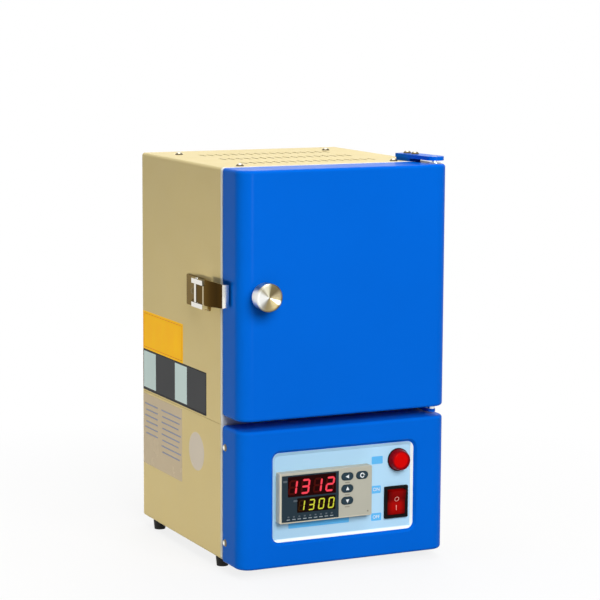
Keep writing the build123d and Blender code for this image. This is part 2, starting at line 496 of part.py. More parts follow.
def lamp_and_switch_parts():
    seat = PLATE_Y - LAMP_FLANGE
    lens = rod(LAMP_X, LAMP_Z, PLATE_Y - LENS_OUT, seat, LENS_FRONT, LENS_FOOT)
    lens = fillet(lens.faces().sort_by(Axis.Y)[0].edges(), 1.2)
    lamp_body = rod(LAMP_X, LAMP_Z, seat, PLATE_Y, LAMP_R) \
        + rod(LAMP_X, LAMP_Z, PLATE_Y, PLATE_Y + 24, LAMP_NECK)
    nut = rod(LAMP_X, LAMP_Z, PLATE_Y + PLATE_T, PLATE_Y + PLATE_T + 4, LAMP_NECK + 3) \
        - rod(LAMP_X, LAMP_Z, PLATE_Y, PLATE_Y + 9, LAMP_NECK)

    open_w, open_h = SW_W - 2 * SW_BORDER - 0.4, SW_H - 2 * SW_BORDER
    body = slab(SW_X, SW_Z, PLATE_Y - SW_RIM, PLATE_Y, SW_W, SW_H, 1.2)
    body += slab(SW_X, SW_Z, PLATE_Y, PLATE_Y + 16, SW_W - 3.0, SW_H - 3.2)
    body -= slab(SW_X, SW_Z, PLATE_Y - 3, PLATE_Y + 9, open_w, open_h)
    body += [slab(SW_X + dx, SW_Z + dz, PLATE_Y + 16, PLATE_Y + 26, 0.8, 6.3)
             for dx in (-6, 6) for dz in (-8, 0, 8)]

    end = ROCK_CREASE + ROCK_HALF * tan(radians(ROCK_TILT))
    outline = Polyline((-ROCK_HALF, end), (0, ROCK_CREASE), (ROCK_HALF, end), (ROCK_HALF, -2),
                       (9.5, -5), (-9.5, -5), (-ROCK_HALF, -2), close=True)
    width = open_w - 2 * ROCK_CLEAR
    side = Plane(origin=(SW_X - width / 2, PLATE_Y + 1, SW_Z), x_dir=(0, 0, 1), z_dir=(1, 0, 0))
    rocker = extrude(side * Rot(0, 0, ROCK_TILT) * make_face(outline), width)
    return {
        "indicator_lens": lens,
        "indicator_body": lamp_body,
        "indicator_nut": nut,
        "switch_body": body,
        "switch_rocker": rocker,
    }


def rear_parts():
    inlet = slab(INLET_X, INLET_Z, D, D + 3, INLET_W + 22, INLET_H + 4, 3.0)
    inlet += slab(INLET_X, INLET_Z, D - 20, D, INLET_W, INLET_H)
    inlet -= slab(INLET_X, INLET_Z, D - 16, D + 4, INLET_W - 3.5, INLET_H - 3.5, 1.5)
    blades = [slab(INLET_X + dx, INLET_Z + dz, D - 16, D - 1, 2, 5)
              for dx, dz in ((-7, -1.5), (0, 2.5), (7, -1.5))]
    fuse = rod(FUSE_X, INLET_Z, D - 25, D, FUSE_R) + rod(FUSE_X, INLET_Z, D, D + 6, FUSE_R + 2)
    fuse -= slab(FUSE_X, INLET_Z, D + 4.5, D + 7, 10, 1.6)

    floor = Pos(RELAY_X, RELAY_Y, SHEET)
    body_w, body_l = RELAY_W / 2 - 2, RELAY_L / 2 - 4
    relay = floor * (block(-RELAY_W / 2, RELAY_W / 2, -RELAY_L / 2, RELAY_L / 2, 0, RELAY_FOOT)
                     + block(-body_w, body_w, -body_l, body_l, RELAY_FOOT, RELAY_H))
    strip_top = SHEET + STRIP_H
    strip = block(STRIP_X - STRIP_W / 2, STRIP_X + STRIP_W / 2,
                  STRIP_Y - STRIP_L / 2, STRIP_Y + STRIP_L / 2, SHEET, strip_top)
    for x in spread(STRIP_X, STRIP_PITCH, 6):
        strip -= [post(x, STRIP_Y + dy, strip_top - STRIP_WELL, strip_top + 1, STRIP_WELL_R)
                  for dy in (-STRIP_L / 4, STRIP_L / 4)]
    return {
        "mains_inlet": inlet,
        "inlet_blades": blades,
        "fuse_holder": fuse,
        "power_relay": relay,
        "terminal_strip": strip,
    }


def main():
    parts = {}
    for group in (casing_parts, chamber_parts, hinge_parts, door_parts, latch_parts,
                  panel_parts, controller_parts, lamp_and_switch_parts, rear_parts):
        parts |= group()
    shapes = {name: Compound(shape if isinstance(shape, list) else [shape])
              for name, shape in parts.items()}
    box = Compound(list(shapes.values())).bounding_box()
    to_bench = Pos(-box.center().X, -box.center().Y, -box.min.Z)
    os.makedirs("parts", exist_ok=True)
    for name, shape in shapes.items():
        export_step(to_bench * shape, f"parts/{name}.step")
    print(len(shapes), "nodes, casing corner at", to_bench.position)


main()
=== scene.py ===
import math

import bpy
from mathutils import Matrix, Vector


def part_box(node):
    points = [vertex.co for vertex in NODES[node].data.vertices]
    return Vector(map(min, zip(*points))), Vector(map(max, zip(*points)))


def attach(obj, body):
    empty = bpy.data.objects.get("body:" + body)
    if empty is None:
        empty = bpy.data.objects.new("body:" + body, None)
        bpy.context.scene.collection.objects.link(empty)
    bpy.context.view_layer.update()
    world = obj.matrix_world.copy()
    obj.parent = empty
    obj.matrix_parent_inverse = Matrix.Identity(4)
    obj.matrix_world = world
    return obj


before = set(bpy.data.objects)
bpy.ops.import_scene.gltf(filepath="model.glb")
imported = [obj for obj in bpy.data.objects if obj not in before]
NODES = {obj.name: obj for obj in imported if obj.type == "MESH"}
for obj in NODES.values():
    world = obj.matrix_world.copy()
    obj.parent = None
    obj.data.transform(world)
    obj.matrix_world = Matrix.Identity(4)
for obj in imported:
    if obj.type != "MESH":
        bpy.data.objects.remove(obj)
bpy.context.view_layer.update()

# The furnace's looks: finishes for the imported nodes, and the thin pieces that lie on them.
# Places are in millimetres from the casing's bottom-front-left corner.

MM = 0.001
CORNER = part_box("lower_casing")[0]


def at(x, y, z):
    return CORNER + Vector((x, y, z)) * MM


class Extent:
    """A node's limits and middle, in millimetres."""

    def __init__(self, node):
        low, high = ((point - CORNER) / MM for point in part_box(node))
        self.x0, self.y0, self.z0 = low
        self.x1, self.y1, self.z1 = high
        self.x, self.y, self.z = (low + high) / 2


def add_object(name, data):
    obj = bpy.data.objects.new(name, data)
    bpy.context.scene.collection.objects.link(obj)
    return obj


UPPER, LOWER = Extent("upper_casing"), Extent("lower_casing")
PLATE, BEZEL = Extent("panel_plate"), Extent("controller_bezel")
GLASS, LENS = Extent("controller_glass"), Extent("indicator_lens")
SWITCH, KNOB = Extent("switch_body"), Extent("door_knob")
LATCH, LEVER = Extent("latch_base"), Extent("latch_lever")
PLATE_FACE = BEZEL.y1              # the bezel's rear lies on the panel plate
X, Y, Z = 0, 1, 2

# ---------------------------------------------------------------- camera

# Solved from the casing's edges in the photograph.
CAM_AZIMUTH, CAM_ELEVATION, CAM_ROLL = -25.575, 8.094, 0.295    # degrees
CAM_PLACE = (-818.0, -1876.3, 538.8)                            # millimetres
CAM_LENS, CAM_SENSOR = 134.0, 36.0                              # millimetres
CAM_NEAR, CAM_FAR = 0.05, 50.0                                  # metres


def make_camera():
    azimuth, elevation = math.radians(CAM_AZIMUTH), math.radians(CAM_ELEVATION)
    back = Vector((math.sin(azimuth) * math.cos(elevation),
                   -math.cos(azimuth) * math.cos(elevation),
                   math.sin(elevation)))
    right = (-back).cross(Vector((0, 0, 1))).normalized()
    turn = Matrix((right, right.cross(-back), back)).transposed().to_4x4()
    data = bpy.data.cameras.new("camera")
    data.lens, data.sensor_width = CAM_LENS, CAM_SENSOR
    data.clip_start, data.clip_end = CAM_NEAR, CAM_FAR
    camera = add_object("camera", data)
    roll = Matrix.Rotation(math.radians(CAM_ROLL), 4, "Z")
    camera.matrix_world = Matrix.Translation(at(*CAM_PLACE)) @ turn @ roll
    bpy.context.scene.camera = camera


# ------------------------------------------------------- material helpers

def srgb(red, green, blue):
    """Display values 0-255 as linear light."""
    return tuple(v / 255 / 12.92 if v <= 10 else ((v / 255 + 0.055) / 1.055) ** 2.4
                 for v in (red, green, blue))


def shade(colour, factor):
    """A colour made darker or brighter, kept within range."""
    return tuple(min(1.0, c * factor) for c in colour)


NOISE_LOW, NOISE_HIGH = 0.3, 0.7    # nearly all of a noise lies between these
MIX_A, MIX_B, MIX_RESULT = 6, 7, 2  # the colour sockets of a Mix node


class Shader:
    """A Principled material with a few node helpers."""

    def __init__(self, name):
        self.mat = bpy.data.materials.new(name)
        self.mat.use_nodes = True
        self.nodes, self.links = self.mat.node_tree.nodes, self.mat.node_tree.links
        self.bsdf = self.nodes["Principled BSDF"]

    def set(self, **values):
        """Set constants on the shader's own sockets."""
        for name, value in values.items():
            if isinstance(value, tuple):
                value = (*value, 1.0)
            self.bsdf.inputs[name.replace("_", " ")].default_value = value
        return self

    def feed(self, socket, output):
        """Link an output to one of the shader's own sockets."""
        self.links.new(output, self.bsdf.inputs[socket])
        return self

    def join(self, node, socket, value):
        """Feed a node's input from an output, or set it to a constant."""
        if isinstance(value, bpy.types.NodeSocket):
            self.links.new(value, node.inputs[socket])
        else:
            node.inputs[socket].default_value = value

    def calc(self, operation, first, second=0.0):
        node = self.nodes.new("ShaderNodeMath")
        node.operation = operation
        self.join(node, 0, first)
        self.join(node, 1, second)
        return node.outputs[0]

    def split(self, output):
        """The three parts of the object coordinates or of the object-space normal."""
        coord = self.nodes.new("ShaderNodeTexCoord")
        parts = self.nodes.new("ShaderNodeSeparateXYZ")
        self.links.new(coord.outputs[output], parts.inputs[0])
        return parts.outputs

    def along(self, axis, start, end):
        """0 to 1 from `start` to `end`, in millimetres from the casing's corner."""
        value = self.split("Object")[axis]
        return self.span(value, CORNER[axis] + start * MM, CORNER[axis] + end * MM, 0.0, 1.0)

    def about(self, x, z):
        """Across, upward and distance from an axis along Y, in metres."""
        place, centre = self.split("Object"), at(x, 0, z)
        across = self.calc("SUBTRACT", place[X], centre.x)
        upward = self.calc("SUBTRACT", place[Z], centre.z)
        return across, upward, self.length(across, upward)

    def length(self, first, second):
        square = self.calc("ADD", self.calc("MULTIPLY", first, first),
                           self.calc("MULTIPLY", second, second))
        return self.calc("SQRT", square)

    def span(self, value, low, high, to_low, to_high):
        """Carry the range `low` to `high` over to another, held at its ends."""
        node = self.nodes.new("ShaderNodeMapRange")
        self.join(node, "Value", value)
        for name, number in (("From Min", low), ("From Max", high),
                             ("To Min", to_low), ("To Max", to_high)):
            node.inputs[name].default_value = number
        return node.outputs["Result"]

    def noise(self, scale, detail=4.0, stretch=(1, 1, 1)):
        coord = self.nodes.new("ShaderNodeTexCoord")
        mapping = self.nodes.new("ShaderNodeMapping")
        mapping.inputs["Scale"].default_value = stretch
        self.links.new(coord.outputs["Object"], mapping.inputs["Vector"])
        node = self.nodes.new("ShaderNodeTexNoise")
        node.inputs["Scale"].default_value = scale
        node.inputs["Detail"].default_value = detail
        self.links.new(mapping.outputs["Vector"], node.inputs["Vector"])
        return node.outputs["Fac"]

    def roughen(self, noise, low, high):
        """Roughness that wanders between two values with a noise."""
        return self.feed("Roughness", self.span(noise, NOISE_LOW, NOISE_HIGH, low, high))

    def ramp(self, value, *stops):
        """Colour that runs through (place, colour) stops."""
        node = self.nodes.new("ShaderNodeValToRGB")
        elements = node.color_ramp.elements
        while len(elements) < len(stops):
            elements.new(0.5)
        for element, (place, colour) in zip(elements, stops):
            element.position = place
            element.color = (*colour, 1.0)
        self.links.new(value, node.inputs["Fac"])
        return node.outputs["Color"]

    def mix(self, factor, first, second):
        """Blend of two colours, each an output or a constant."""
        node = self.nodes.new("ShaderNodeMix")
        node.data_type = "RGBA"
        self.join(node, "Factor", factor)
        for socket, value in ((MIX_A, first), (MIX_B, second)):
            self.join(node, socket, (*value, 1.0) if isinstance(value, tuple) else value)
        return node.outputs[MIX_RESULT]

    def bump(self, height, strength, distance):
        """Bumps from a height, `distance` being the height's full rise in metres."""
        node = self.nodes.new("ShaderNodeBump")
        node.inputs["Strength"].default_value = strength
        node.inputs["Distance"].default_value = distance
        self.links.new(height, node.inputs["Height"])
        return self.feed("Normal", node.outputs["Normal"])


# -------------------------------------------------------------- finishes
# A noise's scale is in features per metre.

UNEVEN = (0.9, 1.12)               # an uneven gloss, as shares of the roughness
TOP_PAINTED_SHADE = 0.85                 # painted shade: the casing's paint at the top, as a share of its foot
HEM_W, HEM_HIGHLIGHT_FULL = 4.0, 0.6         # the casing's front hem, and its share that is all painted highlight
COAT_GRAIN = 0.012                 # powder coat's grain, as a share of the hem's rise
BRONZE_EDGE = (0.58, 0.55, 0.50)   # tint of the latch's grazing reflections
RING_DENSITY = 7000.0              # the knob's turning marks, in radians per metre
EARS_OFF, EARS_BLEND = 3.0, 1.0    # the latch's ears begin this far off the casing
ARM_END, KNUCKLE, KNUCKLE_BLEND = 8.0, 12.0, 2.0    # along the lever, from the base's front
RIM_INSET, RIM_W, RIM_BLEND = 5.0, 3.0, 0.8    # the plate goes behind the window by the inset
EDGE_START, EDGE_FULL = 1.6, 0.6   # the bezel's pale edge, from its outline inwards
LENS_GLOW_R, LENS_BLEND = 6.6, 1.6
LENS_SHIFT_X, LENS_SHIFT_Z = -1.3, 0.9    # the lit part of the lens, from its middle
RED_LED, YELLOW_LED = srgb(250, 70, 86), srgb(206, 208, 62)


def mottled(shader, colour, scale, spread):
    """A colour with a slight drift over the surface."""
    return shader.ramp(shader.noise(scale), (NOISE_LOW, shade(colour, 1 - spread)),
                       (NOISE_HIGH, shade(colour, 1 + spread)))


def enamel(name, colour, roughness, gloss, peel=0.03):
    """Sprayed paint: slight colour drift, uneven gloss and a soft orange peel."""
    s = Shader(name).set(Specular_IOR_Level=gloss)
    s.feed("Base Color", mottled(s, colour, 7.0, 0.035))
    s.roughen(s.noise(35.0), *(roughness * share for share in UNEVEN))
    return s.bump(s.noise(240.0, 2.0), peel, 0.0006).mat


def casing_paint(name, colour, edge_colour):
    """Cream powder coat, painted darker towards its top as shade; its front hem bent round and
    painted paler as a highlight.
    """
    s = Shader(name).set(Specular_IOR_Level=0.06)
    # Painted highlight: the hem's last millimetres are painted pale, as light catches the bend.
    hem = s.along(Y, HEM_W, HEM_W * HEM_HIGHLIGHT_FULL)
    # Painted shade: the paint turns darker from the casing's foot to its top, where the side is lit
    # less.
    coat = s.mix(s.along(Z, LOWER.z0, UPPER.z1), mottled(s, colour, 6.0, 0.03),
                 mottled(s, shade(colour, TOP_PAINTED_SHADE), 6.0, 0.03))
    s.feed("Base Color", s.mix(hem, coat, edge_colour))
    s.roughen(s.noise(50.0), 0.40, 0.52)
    grain = s.calc("MULTIPLY", s.noise(500.0, 3.0), COAT_GRAIN)
    return s.bump(s.calc("ADD", s.along(Y, 0.0, HEM_W), grain), 1.0, HEM_W * MM).mat


def moulded(name, colour, roughness, gloss=0.3):
    """Plastic, rubber or ink with a very fine grain."""
    s = Shader(name).set(Specular_IOR_Level=gloss)
    s.feed("Base Color", mottled(s, colour, 40.0, 0.06))
    s.roughen(s.noise(120.0), *(roughness * share for share in UNEVEN))
    return s.bump(s.noise(1500.0, 2.0), 0.06, 0.0002).mat


def metal(name, colour, roughness, stretch=(1, 1, 1)):
    """Bare metal with fine streaks, drawn out where `stretch` is small."""
    s = Shader(name).set(Metallic=1.0)
    streaks = s.noise(260.0, 6.0, stretch)
    s.feed("Base Color", s.ramp(streaks, (NOISE_LOW, shade(colour, 0.9)),
                                (NOISE_HIGH, shade(colour, 1.05))))
    s.roughen(streaks, roughness * 0.8, roughness * 1.25)
    return s.bump(streaks, 0.06, 0.0002).mat


def fibre(name, colour):
    """Vacuum-formed board: matt, pitted and faintly stained."""
    s = Shader(name).set(Roughness=0.95, Specular_IOR_Level=0.2)
    s.feed("Base Color", mottled(s, colour, 70.0, 0.09))
    return s.bump(s.noise(420.0, 8.0), 0.5, 0.0012).mat


def screw_metal(name, axis):
    """Polished round heads on an axis: painted highlight where a head faces along the axis, painted
    shade where it rolls under.
    """
    s = Shader(name).set(Metallic=1.0)
    painted_light_mask = s.calc("ABSOLUTE", s.split("Normal")[axis])
    # Painted highlight at the top of each head, painted shade towards its rim.
    colour = s.ramp(painted_light_mask, (0.30, srgb(84, 74, 56)), (0.74, srgb(122, 112, 92)),
                    (0.90, srgb(226, 222, 208)), (0.98, srgb(250, 249, 244)))
    s.feed("Base Color", colour)
    return s.roughen(s.noise(300.0), 0.16, 0.26).mat


# Painted reflections, as light and dark fans round the turned knob: angle in degrees from +X,
# display colour.
KNOB_PAINTED_REFLECTIONS = (
    (-180, (250, 250, 248)), (-155, (238, 238, 236)), (-130, (150, 146, 136)),
    (-112, (140, 124, 88)), (-66, (146, 128, 90)), (-42, (112, 96, 64)),
    (-26, (226, 220, 206)), (-12, (112, 96, 68)), (20, (152, 136, 106)),
    (44, (104, 90, 62)), (80, (120, 108, 76)), (100, (232, 226, 196)),
    (120, (240, 236, 214)), (136, (168, 160, 138)), (156, (246, 246, 242)),
    (180, (250, 250, 248)),
)
RING_COLOUR, RING_SHARE = srgb(150, 138, 110), 0.22


def turned(name, piece):
    """Lathe-turned metal about an axis along Y: fine rings, and painted reflections in bright and
    dark wedges.
    """
    s = Shader(name).set(Metallic=1.0, Roughness=0.3)
    across, upward, radius = s.about(piece.x, piece.z)
    angle = s.span(s.calc("ARCTAN2", upward, across), -math.pi, math.pi, 0.0, 1.0)
    # Painted reflections round the axis, chosen by angle.
    painted_reflections = s.ramp(angle, *((0.5 + turn / 360, srgb(*colour)) for turn, colour in KNOB_PAINTED_REFLECTIONS))
    rings = s.calc("SINE", s.calc("MULTIPLY", radius, RING_DENSITY))
    s.feed("Base Color", s.mix(s.span(rings, -1, 1, 0.0, RING_SHARE), painted_reflections, RING_COLOUR))
    return s.bump(rings, 0.06, 0.0001).mat


def latch_plate_metal(name):
    """Plated base: painted brown reflection on the plate, painted highlight on the ears standing
    off it.
    """
    s = Shader(name).set(Metallic=1.0, Specular_Tint=BRONZE_EDGE)
    # Painted reflection: the plate's brown streaks stand for the cream casing seen in the plating.
    plate_reflection = s.ramp(s.noise(30.0, 2.0, (0, 1, 0.2)), (0.35, srgb(124, 104, 68)),
                   (0.65, srgb(160, 140, 98)))
    # Painted highlight: the ears standing off the casing are painted near white.
    foot = LATCH.x1 - EARS_OFF
    ears = s.along(X, foot, foot - EARS_BLEND)
    s.feed("Base Color", s.mix(ears, plate_reflection, srgb(248, 246, 240)))
    return s.roughen(s.noise(80.0), 0.12, 0.20).mat


def lever_metal(name):
    """Plated lever: painted dark brown reflection on its side; painted highlights on the lip, edges
    and knuckle.
    """
    s = Shader(name).set(Metallic=1.0, Specular_Tint=BRONZE_EDGE)
    # Painted highlight: faces that don't look along X are painted near white.
    side = s.span(s.calc("ABSOLUTE", s.split("Normal")[X]), 0.6, 0.9, 0.0, 1.0)
    # Painted reflection along the arm, brown, with a painted highlight line near its end.
    arm_reflection = s.ramp(s.along(Y, LEVER.y0, LATCH.y0 + ARM_END), (0.0, srgb(66, 44, 17)),
                 (0.25, srgb(50, 33, 12)), (0.50, srgb(66, 45, 18)), (0.80, srgb(96, 72, 32)),
                 (0.835, srgb(240, 228, 196)), (0.87, srgb(100, 78, 42)), (1.0, srgb(96, 76, 44)))
    start = LATCH.y0 + KNUCKLE
    # Painted reflection and highlight across the knuckle.
    knuckle = s.ramp(s.along(Y, start, LEVER.y1), (0.0, srgb(96, 76, 44)),
                     (0.30, srgb(58, 42, 20)), (0.42, srgb(250, 248, 242)),
                     (0.85, srgb(244, 240, 228)), (0.95, srgb(60, 52, 36)))
    body = s.mix(s.along(Y, start, start + KNUCKLE_BLEND), arm_reflection, knuckle)
    s.feed("Base Color", s.mix(side, srgb(244, 240, 230), body))
    return s.roughen(s.noise(80.0), 0.10, 0.18).mat


def plate_paint(name, colour, rim_colour):
    """Pale panel plate, its lower and right rims catching the light."""
    s = Shader(name).set(Roughness=0.4, Specular_IOR_Level=0.1)
    rim_x, rim_z = PLATE.x1 - RIM_INSET - RIM_W, PLATE.z0 + RIM_INSET + RIM_W
    rims = s.calc("MAXIMUM", s.along(X, rim_x, rim_x + RIM_BLEND),
                  s.along(Z, rim_z, rim_z - RIM_BLEND))
    face = s.ramp(s.along(X, PLATE.x0, PLATE.x1), (0.0, shade(colour, 0.96)), (0.60, colour),
                  (0.72, shade(colour, 1.10)), (1.0, shade(colour, 1.06)))
    s.feed("Base Color", s.mix(rims, face, rim_colour))
    return s.bump(s.noise(300.0, 2.0), 0.02, 0.0004).mat


def bezel_plastic(name, colour, edge_colour):
    """Warm grey moulding, paler along its outer lower and left edges."""
    s = Shader(name).set(Specular_IOR_Level=0.1)
    edge = s.calc("MAXIMUM", s.along(Z, BEZEL.z0 + EDGE_START, BEZEL.z0 + EDGE_FULL),
                  s.along(X, BEZEL.x0 + EDGE_START, BEZEL.x0 + EDGE_FULL))
    s.feed("Base Color", s.mix(edge, mottled(s, colour, 40.0, 0.02), edge_colour))
    s.roughen(s.noise(220.0), 0.40, 0.50)
    return s.bump(s.noise(900.0, 2.0), 0.05, 0.0002).mat


def lens_plastic(name):
    """Red lens: glowing front, dark flanks."""
    s = Shader(name).set(Roughness=0.12, Specular_IOR_Level=0.04, Emission_Strength=0.9)
    radius = s.about(LENS.x + LENS_SHIFT_X, LENS.z + LENS_SHIFT_Z)[-1]
    flank = s.span(radius, LENS_GLOW_R * MM, (LENS_GLOW_R + LENS_BLEND) * MM, 0.0, 1.0)
    s.feed("Base Color", s.mix(flank, srgb(150, 0, 0), srgb(112, 0, 8)))
    s.feed("Emission Color", s.mix(flank, srgb(168, 0, 0), srgb(74, 0, 6)))
    return s.bump(s.noise(200.0, 2.0), 0.03, 0.0002).mat


def rocker_plastic(name):
    """Red rocker, lit from inside towards its middle and lower half."""
    s = Shader(name).set(Roughness=0.2, Specular_IOR_Level=0.03, Emission_Strength=0.55)
    glow = s.ramp(s.along(Z, SWITCH.z0, SWITCH.z1), (0.10, srgb(120, 0, 0)),
                  (0.30, srgb(196, 10, 2)), (0.46, srgb(190, 12, 4)),
                  (0.60, srgb(112, 2, 2)), (0.84, srgb(140, 4, 2)))
    across = s.span(s.along(X, SWITCH.x0, SWITCH.x1), 0.0, 1.0, -1.0, 1.0)
    dim = s.span(s.calc("ABSOLUTE", across), 0.35, 0.80, 0.0, 0.75)
    s.feed("Base Color", s.mix(dim, srgb(96, 2, 2), srgb(44, 1, 1)))
    s.feed("Emission Color", s.mix(dim, glow, (0.0, 0.0, 0.0)))
    return s.bump(s.noise(200.0, 2.0), 0.03, 0.0002).mat


def lit(name, base, light, strength):
    """A glowing print: digits, lamps, and yellow ink with a painted glow."""
    s = Shader(name).set(Roughness=0.3, Specular_IOR_Level=0.03,
                         Emission_Color=light, Emission_Strength=strength)
    return s.feed("Base Color", mottled(s, base, 60.0, 0.06)).mat


def make_materials():
    return {
        "cream": casing_paint("cream_paint", srgb(238, 220, 164), srgb(250, 251, 246)),
        "frame": enamel("frame_white", srgb(226, 227, 224), 0.35, 0.06),
        "blue": enamel("blue_paint", srgb(2, 101, 214), 0.24, 0.022),
        "zinc": metal("zinc_sheet", (0.62, 0.63, 0.64), 0.34, (1, 1, 6)),
        "board": fibre("insulation_board", (0.82, 0.80, 0.74)),
        "hearth": fibre("hearth_ceramic", (0.70, 0.66, 0.58)),
        "heater": metal("heating_rod", (0.16, 0.14, 0.13), 0.6),
        "sheath": moulded("thermocouple_sheath", (0.78, 0.76, 0.72), 0.4),
        "brass": metal("plain_brass", (0.78, 0.57, 0.26), 0.28),
        "rubber": moulded("black_rubber", (0.016, 0.016, 0.016), 0.7),
        "screw_x": screw_metal("screw_metal_x", X),
        "screw_y": screw_metal("screw_metal_y", Y),
        "screw_z": screw_metal("screw_metal_z", Z),
        "pin": metal("pin_steel", (0.70, 0.70, 0.70), 0.2, (1, 1, 0.1)),
        # Painted reflection: the latch screws are brown like the plate's painted reflection.
        "screw_reflection": metal("latch_screw_painted_reflection", srgb(112, 96, 62), 0.2),
        "latch": latch_plate_metal("latch_plate_metal"),
        "lever": lever_metal("lever_metal"),
        "knob": turned("knob_metal", KNOB),
        "pale": plate_paint("pale_blue_panel", srgb(176, 215, 240), srgb(250, 255, 255)),
        "tag": enamel("sky_blue_tag", srgb(98, 188, 246), 0.4, 0.1, 0.0),
        "bezel": bezel_plastic("bezel_grey", srgb(184, 182, 167), srgb(222, 214, 190)),
        "glass": enamel("display_window", srgb(38, 54, 64), 0.12, 0.08, 0.0),
        "key": moulded("key_slate", srgb(40, 58, 68), 0.5, 0.12),
        "black": moulded("black_plastic", (0.007, 0.006, 0.006), 0.42, 0.04),
        "lens": lens_plastic("red_lens"),
        "rocker": rocker_plastic("red_rocker"),
        "red_field": enamel("red_display_field", srgb(36, 5, 5), 0.2, 0.02, 0.0),
        "red_ghost": enamel("red_unlit_segments", srgb(70, 13, 9), 0.3, 0.02, 0.0),
        "green_field": enamel("green_display_field", srgb(26, 11, 6), 0.2, 0.02, 0.0),
        "green_ghost": enamel("green_unlit_segments", srgb(56, 32, 10), 0.3, 0.02, 0.0),
        "red_led": lit("red_digits", (0.02, 0.001, 0.001), RED_LED, 1.0),
        "green_led": lit("green_digits", (0.02, 0.02, 0.001), YELLOW_LED, 1.0),
        "ink_white": moulded("white_ink", srgb(236, 240, 242), 0.5, 0.1),
        "ink_pale": moulded("pale_ink", srgb(150, 160, 166), 0.5, 0.1),
        "ink_dim": moulded("dim_ink", srgb(84, 94, 102), 0.5, 0.1),
        "ink_grey": moulded("grey_ink", srgb(140, 134, 122), 0.5, 0.1),
        # Painted glow: the yellow label glows to stay bright on the shaded side.
        "yellow": lit("yellow_painted_glow", srgb(250, 188, 2), srgb(250, 186, 0), 0.22),
        "amber": moulded("amber_ink", srgb(214, 150, 10), 0.5, 0.1),
        "slate": enamel("slate_sticker", srgb(70, 72, 77), 0.35, 0.03, 0.0),
        "mist": enamel("mist_sticker", srgb(216, 240, 247), 0.35, 0.04, 0.0),
        "ink_black": moulded("black_ink", srgb(30, 30, 32), 0.5, 0.1),
        "foil": enamel("clear_foil", srgb(214, 197, 168), 0.25, 0.12, 0.0),
        "foil_pale": enamel("pale_foil", srgb(226, 216, 204), 0.25, 0.12, 0.0),
        "ink_rose": moulded("rose_ink", srgb(246, 168, 156), 0.5, 0.02),
        "ink_blue": moulded("faded_blue_ink", srgb(150, 158, 190), 0.5, 0.1),
    }


MATERIAL_OF = {
    "cream": ("upper_casing", "rear_cover", "lower_casing", "rear_panel"),
    "frame": ("front_frame", "lower_front_frame"),
    "blue": ("door_shell", "control_panel", "hinge_bar_upper", "hinge_bar_lower", "hinge_packer"),
    "zinc": ("divider", "panel_brackets", "door_back_plate"),
    "board": ("insulation_floor", "insulation_roof", "insulation_left", "insulation_right",
              "insulation_rear", "door_core", "door_plug", "mouth_seal"),
    "hearth": ("hearth_plate",),
    "heater": ("heating_element_left", "heating_element_right"),
    "sheath": ("thermocouple",),
    "brass": ("element_clamps", "inlet_blades"),
    "rubber": ("rubber_feet",),
    "screw_x": ("panel_screws",),
    # The latch screws carry the painted brown reflection.
    "screw_reflection": ("latch_screws",),
    "screw_y": ("rear_screws", "knob_stud"),
    "screw_z": ("top_screws", "hinge_screws"),
    "pin": ("hinge_pin_upper", "hinge_pin_lower", "latch_pin", "door_bushes"),
    "latch": ("latch_base",),
    "lever": ("latch_lever",),
    "knob": ("door_knob",),
    "pale": ("panel_plate",),
    "bezel": ("controller_bezel",),
    "glass": ("controller_glass",),
    "key": ("key_shift", "key_up", "key_down", "key_cycle"),
    "black": ("controller_housing", "controller_clips", "indicator_body", "indicator_nut",
              "switch_body", "mains_inlet", "fuse_holder", "power_relay", "terminal_strip"),
    "lens": ("indicator_lens",),
    "rocker": ("switch_rocker",),
}
SMOOTH_ANGLE = math.radians(40)


def dress_nodes(mats):
    for key, names in MATERIAL_OF.items():
        for name in names:
            mesh = NODES[name].data
            mesh.materials.clear()
            mesh.materials.append(mats[key])
            mesh.shade_smooth()
            mesh.set_sharp_from_angle(angle=SMOOTH_ANGLE)


# ------------------------------------------------------ small scene pieces

PRINT_T = 0.1                                  # thickness of a print or a sticker
RIGHT, UP = Vector((1, 0, 0)), Vector((0, 0, 1))
FRONT_FACE = (RIGHT, UP)                       # a face that looks towards -Y
LEFT_FACE = (Vector((0, -1, 0)), UP)           # a face that looks towards -X


def rounded(width, height, radius, steps=8):
    """Points of a rounded rectangle about the origin, anticlockwise."""
    points = []
    for side, top, start in ((1, 1, 0), (-1, 1, 90), (-1, -1, 180), (1, -1, 270)):
        for i in range(steps + 1):
            angle = math.radians(start + 90 * i / steps)
            points.append((side * (width / 2 - radius) + radius * math.cos(angle),
                           top * (height / 2 - radius) + radius * math.sin(angle)))
    return points


def circle(radius, steps=32):
    """Points of a circle about the origin, anticlockwise."""
    turns = (2 * math.pi * i / steps for i in range(steps))
    return [(radius * math.cos(turn), radius * math.sin(turn)) for turn in turns]


